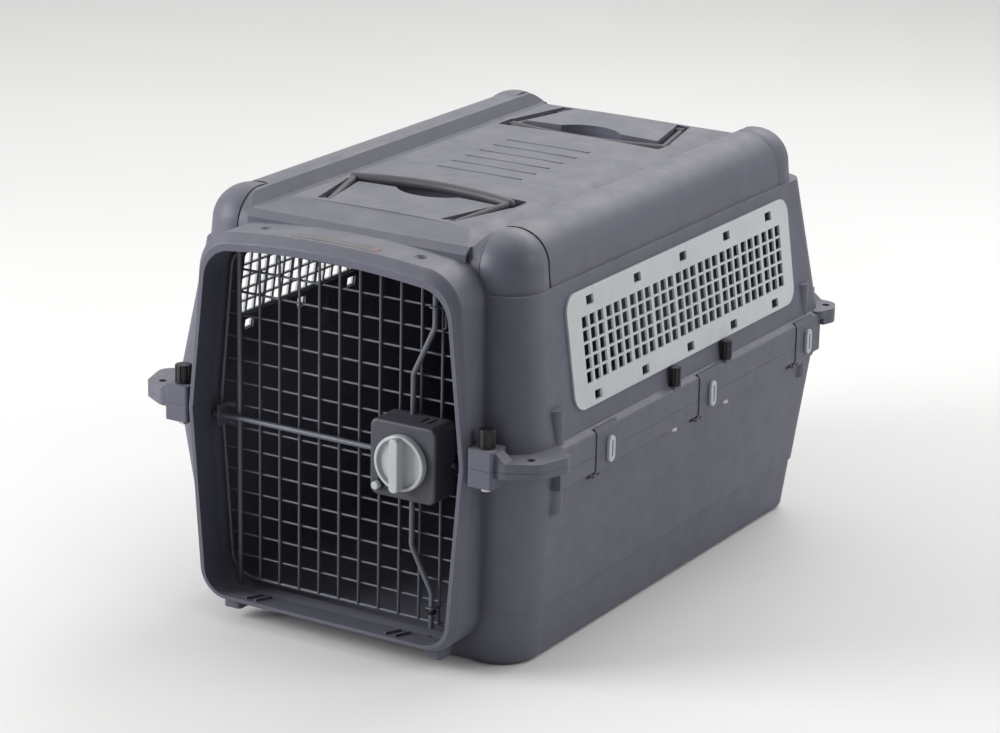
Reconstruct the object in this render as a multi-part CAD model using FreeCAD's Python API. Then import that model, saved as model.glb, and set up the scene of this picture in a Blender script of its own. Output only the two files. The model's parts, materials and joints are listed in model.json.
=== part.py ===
import FreeCAD, Part
import math
import os

from FreeCAD import Matrix, Placement, Rotation, Vector

# Pet transport carrier: a tub and a lid of moulded plastic, clamped together round a side rail,
# with a wire door on a hinge rod at the front, a rotary lock that drives four bolts, slotted vent
# panels on both sides and two fold-flat carry handles in the roof.
#
# Millimetres. X is across, Y runs from the door to the rear wall, Z is up.
# The parts are laid out with the plane of the wire door at y = 0 and the underside of the tub
# at z = 0, and export() shifts them so that the origin is the middle of the footprint.

# ---------------------------------------------------------------- overall layout
LIP_Y = -51.0                 # front edge of the door tunnel
REAR_END_Y = 677.0            # rearmost point of the rear corner lobes
FRONT_WALL_Y = -20.0          # outside of the front wall at the parting plane
REAR_WALL_Y = 660.0           # outside of the rear wall at the parting plane
PARTING_Z = 236.0             # where the lid sits on the tub
WALL = 3.2                    # moulded wall
SEAM = 0.3                    # air left between tub and lid

# ---------------------------------------------------------------- tub
BASE_HALF = 204.0
CREASE_Z = 62.0
CREASE_HALF = 210.2
CREASE_STEP = 2.2
TUB_HALF = 230.3
FRONT_R = 44.0                # plan radius of the front corners
REAR_R = 24.0                 # plan radius of the rear corners
TUB_END_DRAFT = 0.112         # lean of the front and rear walls
BASE_EDGE_R = 9.0
FLOOR_Z = 7.0                 # top of the cabin floor
FLOOR_RECESS = 3.5

# ---------------------------------------------------------------- lid
LID_HALF = 229.0
LID_DRAFT = 0.14
LEDGE_Z = 403.0
ROOF_INSET = 2.6
ROLL_TOP_Z = 461.0
ROLL_INNER_X = 146.0
GUTTER_X = 137.0
GUTTER_Z = 447.0
PAD_X = 112.0
PAD_Z = 455.0
PAD_CROWN = 1.5
EDGE_R = 43.0                 # reach of the rounded roof edges, and radius of the corner domes
DOME_PROUD = 1.6              # how far the four domes stand above the rounded edges
DOME_INNER_X = 150.4
GROOVE_W = 0.9                # groove round the foot of each dome
GROOVE_D = 1.8

# ---------------------------------------------------------------- door tunnel
TUNNEL_MID_HALF = 166.5
TUNNEL_LOW_HALF = 150.5
TUNNEL_HIGH_HALF = 147.5
TUNNEL_LOW_Z = 32.0
TUNNEL_SIDE_TOP_Z = 417.0
TUNNEL_CROWN_Z = 424.0
TUNNEL_LOW_R = 28.0
TUNNEL_HIGH_R = 36.0
TUNNEL_RIM = 11.0             # thickness of the rim round the opening
CROWN_GROWTH = 1.58           # the visor is thicker over the door than the rim is at the sides
SIDE_TOP_GROWTH = 1.68
TUNNEL_FLARE = 6.0            # how much wider the tunnel is at the door than at the lip
TUNNEL_BACK_Y = 12.0
SILL_Z = 24.0                 # bottom of the tunnel where the door stands

# ---------------------------------------------------------------- side rail and corner lobes
RAIL_X = 236.5
RAIL_LOW_Z = 198.0
RAIL_SPLIT_Z = 216.5
RAIL_TOP_Z = 242.0
SKIRT_X = 232.6               # inside of the lid's skirt, which hangs outside the rim of the tub
RAIL_Y0 = 34.0
RAIL_Y1 = 634.0
LOBE_LOW_Z = 229.0
LOBE_TOP_Z = 246.0
LOBE_R = 19.0
TIE_HOLE_R = 4.5
TIE_X = 231.0
TIE_FRONT_Y = -16.5
TIE_REAR_Y = REAR_END_Y - LOBE_R
POST_R = 12.0
POST_REAR_R = 9.8
POST_X = 219.0
POST_FRONT_Y = 46.0
POST_REAR_Y = 611.0
POST_TOP_Z = 282.0
POST_LOW_Z = 170.0

# ---------------------------------------------------------------- corner blocks, bolts and thumb nuts
BLOCK_X = 189.7
BLOCK_Y = -35.3
BLOCK_REAR_Y = 673.5
BLOCK_HALF = 14.5
BLOCK_REAR_REACH = 11.0       # the rear blocks are shallower
BLOCK_LOW_Z = 217.0
BLOCK_TOP_Z = 257.0
BOLT_R = 3.0
BOLT_HOLE_R = 3.3
NUT_R = 9.2
NUT_H = 20.0
SIDE_NUT_R = 6.9
SIDE_NUT_H = 21.0
SIDE_NUT_X = 231.3
SIDE_NUT_YS = (286.0, 405.0)
SIDE_NUT_Z = 245.6
SIDE_BOLT_R = 2.2
SIDE_POCKET_R = 8.0           # hollow in the lid wall round each side nut
FLUTES = 8

# ---------------------------------------------------------------- side clips
CLIP_YS = (130.0, 357.0, 594.0)
CLIP_W = 46.0
CLIP_GAP = 1.0
CLIP_FACE_X = 237.6
CLIP_T = 3.2
CLIP_LOW_Z = 196.0
CLIP_TOP_Z = 245.2
CLIP_HOOK_X = 231.7
CLIP_PIN_X = 231.0
CLIP_PIN_Z = 192.6
CLIP_PIN_R = 1.6
LATCH_DY = 4.0
LATCH_Z = 218.0
LATCH_W = 13.0
LATCH_H = 29.0

# ---------------------------------------------------------------- vent panels
PANEL_Y0 = 80.5
PANEL_Y1 = 583.0
PANEL_Z0 = 267.5
PANEL_Z1 = 390.0
PANEL_R = 19.0
PANEL_T = 2.6
HOLE_W = 12.2
HOLE_H = 12.3
HOLE_PITCH_Y = 16.3
HOLE_GROUP_GAP = 1.9
HOLE_PITCH_Z = 14.7
HOLE_GROUPS = 9
HOLES_PER_GROUP = 3
HOLE_ROWS = 5
HOLE_Y0 = 114.3
SQUARE_W = 15.0
SQUARE_H = 10.0
SQUARE_COUNT = 5
SQUARE_Y0 = 128.3
SQUARE_PITCH = 101.4

# ---------------------------------------------------------------- wire door
WIRE_PITCH = 25.4             # one-inch welded mesh
VERTICALS = 10
VERTICAL_R = 1.5
VERTICAL_Y = -1.3
CROSS_R = 1.35
CROSS_Y = 1.35
CROSS_TOP_Z = 382.0
CROSS_PITCH_HIGH = 25.2
CROSS_HIGH = 8
CROSS_PITCH_LOW = 24.1
CROSS_LOW = 6
DOOR_R = 2.1
DOOR_MID_HALF = 165.2
DOOR_LOW_HALF = 150.0
DOOR_HIGH_HALF = 149.0
DOOR_LOW_Z = 36.8
DOOR_TOP_Z = 408.0
DOOR_CORNER_R = 27.0
HINGE_X = -139.7
HINGE_Y = -2.7
HINGE_R = 2.7
HINGE_FIT = 0.08

# ---------------------------------------------------------------- door lock
LOCK_X = 92.5
LOCK_Z = 224.0
LOCK_W = 80.0
LOCK_H = 83.0
LOCK_FRONT_Y = -42.0
LOCK_BACK_Y = -5.2
LOCK_R = 9.0
LOCK_WALL = 3.0
BACK_PLATE_T = 2.4
ROD_R = 3.0
ROD_Y = -8.7
ROD_FIT = 0.3
ROD_IN_X = 84.0               # both upright bolts run at this x inside the lock
ROD_OUT_X = 109.5             # and at this x where they meet the frame
LEVEL_ROD_Z = 219.0
BOLT_TRAVEL = 14.92
PINION_TEETH = 12
PINION_PITCH_R = 9.5
PRESSURE_DEG = 25.0
BACKLASH = 0.13
PINION_ADDENDUM = 1.3
PINION_DEDENDUM = 1.6
RACK_ADDENDUM = 1.2
RACK_DEDENDUM = 1.65
RACK_T = 5.0
RACK_BODY = 4.2
UPRIGHT_RACK_Y = -22.0        # front face of the upright racks
LEVEL_RACK_Y = -31.0          # front face of the level racks
KNOB_R = 30.0
KNOB_REST_Y = -42.6
KNOB_RIM_Y = -50.0
KNOB_GRIP_Y = -60.0
KNOB_RIM_W = 3.6
GRIP_W = 11.0
SPINDLE_R = 7.0
SPINDLE_FIT = 0.06
TAIL_R = 4.0
BUTTON_X = 64.0
BUTTON_Z = 195.0
BUTTON_R = 4.4
BUTTON_BORE_R = 4.48
BUTTON_FRONT_Y = -50.5

# ---------------------------------------------------------------- carry handles
HANDLE_PIVOT_Y = 70.0
HANDLE_PIVOT_X = 77.0
HANDLE_BAR_Y = 154.0
HANDLE_BAR_X = 98.0
HANDLE_Z = 449.0
HANDLE_BOW = 14.0             # the grip bows away from the pivots
HANDLE_LIFT_DEG = 5.0         # the front handle rests slightly raised
HANDLE_R = 5.5
ARM_R = 3.8
PIVOT_R = 2.6
PIVOT_FIT = 0.06
POCKET_Z = 441.0
POCKET_FAR_Y = 177.5
SLOT_HALF = 8.3
SCOOP_R = 52.0
SCOOP_DEPTH = 27.0

MIDDLE_Y = (KNOB_GRIP_Y + BLOCK_REAR_Y + BLOCK_REAR_REACH) / 2.0
X_AXIS = Vector(1, 0, 0)
Y_AXIS = Vector(0, 1, 0)
Z_AXIS = Vector(0, 0, 1)


# ================================================================ helpers
def box(x0, x1, y0, y1, z0, z1):
    return Part.makeBox(x1 - x0, y1 - y0, z1 - z0, Vector(x0, y0, z0))


def cylinder(centre, radius, length, axis):
    return Part.makeCylinder(radius, length, Vector(*centre), axis)


def tube(centre, outer, inner, length, axis):
    return cylinder(centre, outer, length, axis).cut(cylinder(centre, inner, length, axis))


def prism(points, direction):
    """Straight-sided solid on a closed outline of points."""
    outline = [Vector(*p) for p in points]
    return Part.Face(Part.makePolygon(outline + outline[:1])).extrude(direction)


def mirror_x(shape):
    return shape.mirror(Vector(0, 0, 0), X_AXIS)


def fuse(shapes):
    first = shapes[0]
    return first.multiFuse(shapes[1:]).removeSplitter() if len(shapes) > 1 else first


def line(a, b):
    return Part.LineSegment(a, b).toShape()


def corner_arc(corner, before, after, radius):
    """Tangent arc that rounds a corner, with its two end points."""
    to_before = (before - corner).normalize()
    to_after = (after - corner).normalize()
    half = to_before.getAngle(to_after) / 2.0
    start = corner + to_before * (radius / math.tan(half))
    end = corner + to_after * (radius / math.tan(half))
    inward = (to_before + to_after).normalize()
    middle = corner + inward * (radius / math.sin(half) - radius)
    return start, middle, end


def rounded_wire(corners, radii):
    """Closed outline through corners, each rounded by its radius (0 leaves it sharp)."""
    count = len(corners)
    arcs = []
    for i in range(count):
        if radii[i] > 0:
            arcs.append(corner_arc(corners[i], corners[i - 1], corners[(i + 1) % count], radii[i]))
        else:
            arcs.append((corners[i], None, corners[i]))
    edges = []
    for i in range(count):
        start, middle, end = arcs[i]
        if middle is not None:
            edges.append(Part.Arc(start, middle, end).toShape())
        edges.append(line(end, arcs[(i + 1) % count][0]))
    return Part.Wire(edges)


def rounded_face(corners, radii):
    return Part.Face(rounded_wire(corners, radii))


def plan_outline(half, y0, y1, z, front_r, rear_r):
    corners = [Vector(-half, y0, z), Vector(half, y0, z), Vector(half, y1, z), Vector(-half, y1, z)]
    return rounded_wire(corners, [front_r, front_r, rear_r, rear_r])


def rounded_bar(x0, x1, y0, y1, z0, z1, radius, axis):
    """Box whose four edges along axis are rounded."""
    if axis == "y":
        corners = [(x0, y0, z0), (x1, y0, z0), (x1, y0, z1), (x0, y0, z1)]
        direction = Vector(0, y1 - y0, 0)
    elif axis == "z":
        corners = [(x0, y0, z0), (x1, y0, z0), (x1, y1, z0), (x0, y1, z0)]
        direction = Vector(0, 0, z1 - z0)
    else:
        corners = [(x0, y0, z0), (x0, y1, z0), (x0, y1, z1), (x0, y0, z1)]
        direction = Vector(x1 - x0, 0, 0)
    return rounded_face([Vector(*c) for c in corners], [radius] * 4).extrude(direction)


def bent_rod(points, radius, bend):
    """Round rod along straight runs joined by tangent arcs of one bend radius."""
    path = [Vector(*p) for p in points]
    edges = []
    start = path[0]
    for before, corner, after in zip(path, path[1:], path[2:]):
        arc_start, arc_middle, arc_end = corner_arc(corner, before, after, bend)
        edges.append(line(start, arc_start))
        edges.append(Part.Arc(arc_start, arc_middle, arc_end).toShape())
        start = arc_end
    edges.append(line(start, path[-1]))
    profile = Part.Wire(Part.makeCircle(radius, path[0], path[1] - path[0]))
    return Part.Wire(edges).makePipeShell([profile], True, False)


def edges_at(shape, test):
    """Edges whose middle point passes a test."""
    chosen = []
    for edge in shape.Edges:
        middle = edge.valueAt((edge.FirstParameter + edge.LastParameter) / 2.0)
        if test(edge, middle):
            chosen.append(edge)
    return chosen


# ================================================================ tub and lid bodies
def end_y(z, draft, wall_y, sign):
    """Where a leaning end wall stands at height z; sign is +1 for the front wall."""
    return wall_y + sign * draft * abs(z - PARTING_Z)


def tub_section(half, z, inset):
    y0 = end_y(z, TUB_END_DRAFT, FRONT_WALL_Y, 1) + inset
    y1 = end_y(z, TUB_END_DRAFT, REAR_WALL_Y, -1) - inset
    return plan_outline(half - inset, y0, y1, z, FRONT_R - inset, REAR_R - inset)


def tub_solid(inset, floor_z, top_z):
    slope = (CREASE_HALF - BASE_HALF) / CREASE_Z
    upper_slope = (TUB_HALF - CREASE_HALF - CREASE_STEP) / (PARTING_Z - CREASE_Z)
    low = Part.makeLoft([tub_section(BASE_HALF + slope * floor_z, floor_z, inset),
                         tub_section(CREASE_HALF, CREASE_Z, inset)], True, True)
    top_half = TUB_HALF + upper_slope * (top_z - PARTING_Z)
    high = Part.makeLoft([tub_section(CREASE_HALF + CREASE_STEP, CREASE_Z, inset),
                          tub_section(top_half, top_z, inset)], True, True)
    return low.fuse(high)


def lid_section(z, inset):
    half = LID_HALF - LID_DRAFT * (z - PARTING_Z) - inset
    y0 = end_y(z, LID_DRAFT, FRONT_WALL_Y, 1) + inset
    y1 = end_y(z, LID_DRAFT, REAR_WALL_Y, -1) - inset
    return plan_outline(half, y0, y1, z, FRONT_R - 4.0 - inset, REAR_R - inset)


def lid_solid(inset, low_z, top_z):
    return Part.makeLoft([lid_section(low_z, inset), lid_section(top_z, inset)], True, True)


# ================================================================ door tunnel
def tunnel_outline(y, offset, low_z, crown_z, side_top_z):
    """Six-sided opening: widest at the parting plane, arched along the top."""
    low = TUNNEL_LOW_HALF + offset
    mid = TUNNEL_MID_HALF + offset
    high = TUNNEL_HIGH_HALF + offset
    bottom_right = corner_arc(Vector(low, y, low_z), Vector(-low, y, low_z),
                              Vector(mid, y, PARTING_Z), TUNNEL_LOW_R + offset)
    top_right = corner_arc(Vector(high, y, side_top_z), Vector(mid, y, PARTING_Z),
                           Vector(-high, y, side_top_z), TUNNEL_HIGH_R + offset)
    side = Vector(mid, y, PARTING_Z)

    def flip(v):
        return Vector(-v.x, v.y, v.z)

    arc_b = [Part.Arc(*bottom_right).toShape(), Part.Arc(*[flip(v) for v in bottom_right]).toShape()]
    arc_t = [Part.Arc(*top_right).toShape(), Part.Arc(*[flip(v) for v in top_right]).toShape()]
    crown = Part.Arc(top_right[2], Vector(0, y, crown_z), flip(top_right[2])).toShape()
    edges = [line(flip(bottom_right[0]), bottom_right[0]), arc_b[0], line(bottom_right[2], side),
             line(side, top_right[0]), arc_t[0], crown, arc_t[1], line(flip(top_right[0]), flip(side)),
             line(flip(side), flip(bottom_right[2])), arc_b[1]]
    return Part.Wire(Part.__sortEdges__(edges))


def tunnel_block():
    """Solid block round the doorway: rolled rim, sloping face and the arched visor on top."""
    steps = ((LIP_Y, 4.6), (LIP_Y + 1.2, 5.8), (LIP_Y + 2.8, 6.4), (LIP_Y + 7.5, 10.0),
             (LIP_Y + 9.5, TUNNEL_RIM))
    wires = []
    for y, rim in steps:
        wires.append(tunnel_outline(y, rim, TUNNEL_LOW_Z - rim * 0.8, TUNNEL_CROWN_Z + rim * CROWN_GROWTH,
                                    TUNNEL_SIDE_TOP_Z + rim * SIDE_TOP_GROWTH))
    pieces = [Part.makeLoft([a, b], True, True) for a, b in zip(wires, wires[1:])]
    pieces.append(Part.Face(wires[-1]).extrude(Vector(0, TUNNEL_BACK_Y - steps[-1][0], 0)))
    return fuse(pieces)


def tunnel_void():
    """Space of the doorway, wider at the door than at the lip."""
    lip = tunnel_outline(LIP_Y - 1.0, 0.0, TUNNEL_LOW_Z, TUNNEL_CROWN_Z, TUNNEL_SIDE_TOP_Z)
    door = tunnel_outline(HINGE_Y - 6.0, TUNNEL_FLARE, SILL_Z, TUNNEL_CROWN_Z, TUNNEL_SIDE_TOP_Z)
    behind = Part.Face(door).extrude(Vector(0, TUNNEL_BACK_Y + 60.0, 0))
    return Part.makeLoft([lip, door], True, True).fuse(behind)


# ================================================================ rails, lobes, blocks
def lobe_outline(z, rear):
    """Crescent web round one right-hand corner, in plan."""
    if rear:
        points = [(180, REAR_WALL_Y - 40), (238, RAIL_Y1 - 8), (TIE_X + 15, TIE_REAR_Y - 6),
                  (TIE_X + 5, TIE_REAR_Y + LOBE_R - 3), (205, REAR_END_Y), (176, REAR_END_Y)]
        radii = [0, 12, 16, 16, 8, 0]
    else:
        points = [(176, BLOCK_Y - 6), (214, BLOCK_Y - 9), (TIE_X + 15, -26), (TIE_X + 28, 17),
                  (RAIL_X, RAIL_Y0 + 3), (180, RAIL_Y0)]
        radii = [0, 14, 16, 14, 0, 0]
    return rounded_face([Vector(x, y, z) for x, y in points], radii)


def lobe(z0, z1, rear):
    web = lobe_outline(z0, rear).extrude(Vector(0, 0, z1 - z0))
    hole_y = TIE_REAR_Y if rear else TIE_FRONT_Y
    return web.cut(cylinder((TIE_X, hole_y, z0 - 1), TIE_HOLE_R, z1 - z0 + 2, Z_AXIS))


def block(z0, z1, rear):
    """Square boss for one corner bolt, with a sloping cheek down to the lobe."""
    x0 = BLOCK_X - BLOCK_HALF
    x1 = BLOCK_X + BLOCK_HALF
    y0 = REAR_WALL_Y - 8.0 if rear else BLOCK_Y - BLOCK_HALF
    y1 = BLOCK_REAR_Y + BLOCK_REAR_REACH if rear else BLOCK_Y + BLOCK_HALF
    boss = rounded_bar(x0, x1, y0, y1, z0, z1, 3.0, "z")
    if z1 > LOBE_TOP_Z:
        middle = (y0 + y1) / 2.0
        cheek = prism([(x1 - 2, middle - 8, LOBE_TOP_Z), (x1 + 12, middle - 8, LOBE_TOP_Z),
                       (x1 - 2, middle - 8, z1)], Vector(0, 16, 0))
        boss = boss.fuse(cheek)
    return boss


def bolt_holes():
    """Holes for the four corner bolts and the four side bolts, through both shells."""
    span = BLOCK_TOP_Z - RAIL_LOW_Z + 20.0
    corners = [cylinder((x, y, RAIL_LOW_Z - 10.0), BOLT_HOLE_R, span, Z_AXIS) for x, y in corner_places()]
    sides = [cylinder((x, y, RAIL_LOW_Z - 10.0), SIDE_BOLT_R + 0.3, span, Z_AXIS) for x, y in side_places()]
    return corners + sides


def posts(z0, z1):
    return [cylinder((POST_X, y, z0), r, z1 - z0, Z_AXIS)
            for y, r in ((POST_FRONT_Y, POST_R), (POST_REAR_Y, POST_REAR_R))]


def clip_seats(z0, z1):
    """Shallow notches in the rail face where the clips lie."""
    depth_x = CLIP_FACE_X - CLIP_T - 0.4
    half = CLIP_W / 2.0 + CLIP_GAP
    return [box(depth_x, RAIL_X + 5, y - half, y + half, z0, z1) for y in CLIP_YS]


def latch_slots():
    """Slot that lets the cam of each clip lock in, and the round cavity it turns in."""
    cuts = []
    for y in CLIP_YS:
        mid = y + LATCH_DY
        cuts.append(box(229.2, RAIL_X, mid - 4.3, mid + 4.3, LATCH_Z - 11.5, LATCH_Z + 11.5))
        cuts.append(cylinder((229.2, mid, LATCH_Z), 10.0, 3.4, X_AXIS))
    return cuts


def clip_knuckle_seats():
    """Room under the rail for the hinge knuckles of each clip."""
    half = CLIP_W / 2.0 + CLIP_GAP
    return [box(226.0, RAIL_X + 5, y - half, y + half, CLIP_PIN_Z - 4.0, RAIL_LOW_Z + 0.01)
            for y in CLIP_YS]


def clip_brackets():
    """Two lugs under the rail at each clip; the hinge pin passes through them."""
    lugs = []
    for y in CLIP_YS:
        for offset in (-17.5, 17.5):
            y0 = y + offset - 3
            lugs.append(prism([(224.0, y0, RAIL_LOW_Z + 2), (CLIP_PIN_X + 2.6, y0, RAIL_LOW_Z + 2),
                               (CLIP_PIN_X + 2.6, y0, CLIP_PIN_Z - 2.6),
                               (CLIP_PIN_X - 2.6, y0, CLIP_PIN_Z - 2.6), (222.0, y0, 184.0)], Vector(0, 6, 0)))
    bores = [cylinder((CLIP_PIN_X, y - 21, CLIP_PIN_Z), CLIP_PIN_R, 42, Y_AXIS) for y in CLIP_YS]
    return fuse(lugs).cut(Part.makeCompound(bores))


# ================================================================ bottom shell
def foot_stubs():
    """Two short stubs under the front sill that take the ends of the upright rods."""
    return [rounded_bar(x - 11, x + 11, -36, -12, 13.0, 26.0, 5.0, "z") for x in (-128.0, 128.0)]


def sill_ribs():
    """Pairs of small slanted fins on the sill, beside the two rod holes."""
    fins = []
    for x in (-104.0, -92.0, 74.0, 86.0):
        fins.append(prism([(x, -44, SILL_Z + 5), (x + 1.8, -44, SILL_Z + 5), (x + 1.8, -14, SILL_Z - 1),
                           (x, -14, SILL_Z - 1)], Vector(0, 0, 4.0)))
    return fins


def keeper_holes():
    """Holes in the door surround: the hinge rod's two sockets and the four bolt holes."""
    bolt_r = ROD_R + ROD_FIT + 0.2
    return [cylinder((HINGE_X, HINGE_Y, SILL_Z - 12), HINGE_R + HINGE_FIT, 30, Z_AXIS),
            cylinder((HINGE_X, HINGE_Y, 380), HINGE_R + HINGE_FIT, 50, Z_AXIS),
            cylinder((ROD_OUT_X, ROD_Y, SILL_Z - 12), bolt_r, 30, Z_AXIS),
            cylinder((ROD_OUT_X, ROD_Y, 400), bolt_r, 34, Z_AXIS),
            cylinder((150, ROD_Y, LEVEL_ROD_Z), bolt_r, 40, X_AXIS),
            cylinder((-150, ROD_Y, LEVEL_ROD_Z), bolt_r, 44, Vector(-1, 0, 0))]


def side_flange():
    """Lower half of the side rail, with posts, lobes, corner blocks and clip lugs."""
    rail = box(215, RAIL_X, RAIL_Y0, RAIL_Y1, RAIL_LOW_Z, RAIL_SPLIT_Z)
    rail = rail.makeFillet(2.5, edges_at(rail, lambda e, m: m.x > RAIL_X - 0.1 and m.z < RAIL_LOW_Z + 0.1))
    pieces = [rail] + posts(POST_LOW_Z, RAIL_LOW_Z + 1)
    pieces += [lobe(LOBE_LOW_Z, PARTING_Z, rear) for rear in (False, True)]
    pieces += [block(BLOCK_LOW_Z, PARTING_Z, rear) for rear in (False, True)]
    flange = fuse(pieces)
    cuts = clip_seats(RAIL_LOW_Z - 1, RAIL_SPLIT_Z + 1) + clip_knuckle_seats() + latch_slots()
    cuts.append(box(SKIRT_X - SEAM, RAIL_X + 5, RAIL_Y0 - SEAM, RAIL_Y1 + SEAM, RAIL_SPLIT_Z, PARTING_Z + 1))
    return fuse([flange.cut(Part.makeCompound(cuts)), clip_brackets()])


def bottom_shell():
    outer = tub_solid(0.0, 0.0, PARTING_Z)
    outer = outer.makeFillet(BASE_EDGE_R, edges_at(outer, lambda e, m: abs(m.z) < 0.01))
    inner = tub_solid(WALL, FLOOR_Z, PARTING_Z + 5.0)
    flange = side_flange()
    surround = tunnel_block().common(box(-300, 300, -100, 100, -50, PARTING_Z))
    shell = fuse([outer, surround, flange, mirror_x(flange)] + foot_stubs())
    shell = shell.cut(inner.cut(surround))
    recess = rounded_bar(-BASE_HALF + 34, BASE_HALF - 34, FRONT_WALL_Y + 62, REAR_WALL_Y - 62, -1.0,
                         FLOOR_RECESS, 20.0, "z")
    shell = shell.cut(recess).cut(tunnel_void())
    shell = shell.fuse(Part.makeCompound(sill_ribs()))
    return shell.cut(Part.makeCompound(keeper_holes() + bolt_holes())).removeSplitter()


# ================================================================ top shell
def roof_walls(inset):
    """Half-width and the two end positions of the roof where it leaves the ledge."""
    half = LID_HALF - LID_DRAFT * (LEDGE_Z - PARTING_Z) - ROOF_INSET - inset
    y0 = end_y(LEDGE_Z, LID_DRAFT, FRONT_WALL_Y, 1) + ROOF_INSET + inset
    y1 = end_y(LEDGE_Z, LID_DRAFT, REAR_WALL_Y, -1) - ROOF_INSET - inset
    return half, y0, y1


def roof_edge(wall, top, sign):
    """Rounded roof edge, from the foot of the wall up and inward; sign is the way the wall faces."""
    return [(wall, LEDGE_Z - 6.0), (wall - sign * 2.6, LEDGE_Z + 20.0), (wall - sign * 14.8, top - 11.3),
            (wall - sign * EDGE_R, top)]


def roll_profile(inset):
    """Side view of the two side rolls: rounded at both ends."""
    y0, y1 = roof_walls(inset)[1:]
    top = ROLL_TOP_Z - inset
    front = [Vector(0, y, z) for y, z in roof_edge(y0, top, -1)]
    rear = [Vector(0, y, z) for y, z in roof_edge(y1, top, 1)]
    edges = [line(front[0], front[1]), Part.Arc(*front[1:]).toShape(), line(front[3], rear[3]),
             Part.Arc(*rear[:0:-1]).toShape(), line(rear[1], rear[0]), line(rear[0], front[0])]
    return Part.Face(Part.Wire(edges))


def roof_section(inset):
    """Cross-section of the roof: two round side rolls and the crowned pad between them."""
    half = roof_walls(inset)[0]
    top = ROLL_TOP_Z - inset
    roll_in = ROLL_INNER_X + inset
    pad_z = PAD_Z - inset
    gutter_z = GUTTER_Z - inset
    right = [Vector(x, 0, z) for x, z in roof_edge(half, top, 1)]
    right += [Vector(roll_in + 3, 0, top - 0.7), Vector(roll_in, 0, top - 1.7), Vector(GUTTER_X, 0, gutter_z),
              Vector(GUTTER_X - 6, 0, gutter_z - 0.5), Vector(PAD_X, 0, pad_z - 0.5)]

    def side(p):
        return [line(p[0], p[1]), Part.Arc(p[1], p[2], p[3]).toShape(), line(p[3], p[4]), line(p[4], p[5]),
                line(p[5], p[6]), line(p[6], p[7]), line(p[7], p[8])]

    left = [Vector(-v.x, 0, v.z) for v in right]
    crown = Part.Arc(right[8], Vector(0, 0, pad_z + PAD_CROWN), left[8]).toShape()
    edges = side(right) + [crown] + side(left) + [line(left[0], right[0])]
    return Part.Face(Part.Wire(Part.__sortEdges__(edges)))


def centre_profile(inset):
    """Side view of the roof between the rolls: a step up from the visor, then the sloping end of the pad."""
    low = LEDGE_Z - 6.0
    f, r = roof_walls(inset)[1:]
    top = ROLL_TOP_Z + 8.0
    points = [(0, f, low), (0, f, 440.0 - inset), (0, f + 9, 446.5 - inset), (0, f + 49, 455.2 - inset),
              (0, f + 60, top), (0, r - 74, top), (0, r - 52, 455.0 - inset), (0, r - 32, 449.5 - inset),
              (0, r - 10, 444.0 - inset), (0, r, 438.0 - inset), (0, r, low)]
    return Part.Face(Part.makePolygon([Vector(*p) for p in points + points[:1]]))


def dome(x, y, inset, proud):
    """Upright dome on one roof corner, turned from the outline of the rounded edge."""
    top = ROLL_TOP_Z - inset + proud
    foot = Vector(x, y, LEDGE_Z - 6.0)
    tip = Vector(x, y, top)
    outline = [Vector(x + r, y, z) for r, z in roof_edge(EDGE_R + proud, top, 1)]
    edges = [line(foot, outline[0]), line(outline[0], outline[1]), Part.Arc(*outline[1:]).toShape()]
    if proud > 0:
        edges.append(line(outline[3], tip))
    edges.append(line(tip, foot))
    return Part.Face(Part.Wire(edges)).revolve(foot, Z_AXIS, 360)


def dome_places(inset):
    """Axis of each corner dome, with the signs of the corner."""
    half, y0, y1 = roof_walls(inset)
    return [(sx * (half - EDGE_R), y, sx, sy)
            for sx in (-1, 1) for y, sy in ((y0 + EDGE_R, -1), (y1 - EDGE_R, 1))]


def corner_waste(inset):
    """What a round corner leaves off where the side and end profiles cross."""
    waste = []
    for x, y, sx, sy in dome_places(inset):
        xs = sorted((x, x + sx * 60.0))
        ys = sorted((y, y + sy * 60.0))
        corner = box(xs[0], xs[1], ys[0], ys[1], LEDGE_Z - 7.0, ROLL_TOP_Z + 10.0)
        waste.append(corner.cut(dome(x, y, inset, 0.0)))
    return waste


def roof_body(inset):
    """Roof cut to its cross-section and its side view, with round corners."""
    y0, y1 = roof_walls(inset)[1:]
    section = roof_section(inset)
    section.translate(Vector(0, y0 - 5, 0))
    body = section.extrude(Vector(0, y1 - y0 + 10, 0))
    roll = roll_profile(inset)
    roll_x = ROLL_INNER_X - 12.0
    roll_width = 90.0
    right = roll.copy()
    right.translate(Vector(roll_x, 0, 0))
    left = roll.copy()
    left.translate(Vector(-roll_x - roll_width, 0, 0))
    centre = centre_profile(inset)
    centre.translate(Vector(-roll_x - 1, 0, 0))
    ends = fuse([right.extrude(Vector(roll_width, 0, 0)), left.extrude(Vector(roll_width, 0, 0)),
                 centre.extrude(Vector(2 * roll_x + 2, 0, 0))])
    body = body.common(ends)
    for waste in corner_waste(inset):
        body = body.cut(waste)
    return body


def roof_solid():
    """Outside of the roof: round edges, a raised dome on every corner and the groove round its foot."""
    roof = roof_body(0.0)
    domes = []
    for x, y, sx, sy in dome_places(0.0):
        xs = sorted((sx * DOME_INNER_X, sx * 260.0))
        side = box(xs[0], xs[1], y - 80, y + 80, LEDGE_Z, ROLL_TOP_Z + 20.0)
        ring = side.copy()
        ring.translate(Vector(-sx * GROOVE_W, 0, 0))
        domes.append(dome(x, y, 0.0, DOME_PROUD).common(side))
        roof = roof.cut(dome(x, y, 0.0, DOME_PROUD + GROOVE_W).common(ring))
    return fuse([roof, roof_body(GROOVE_D)] + domes)


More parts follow.
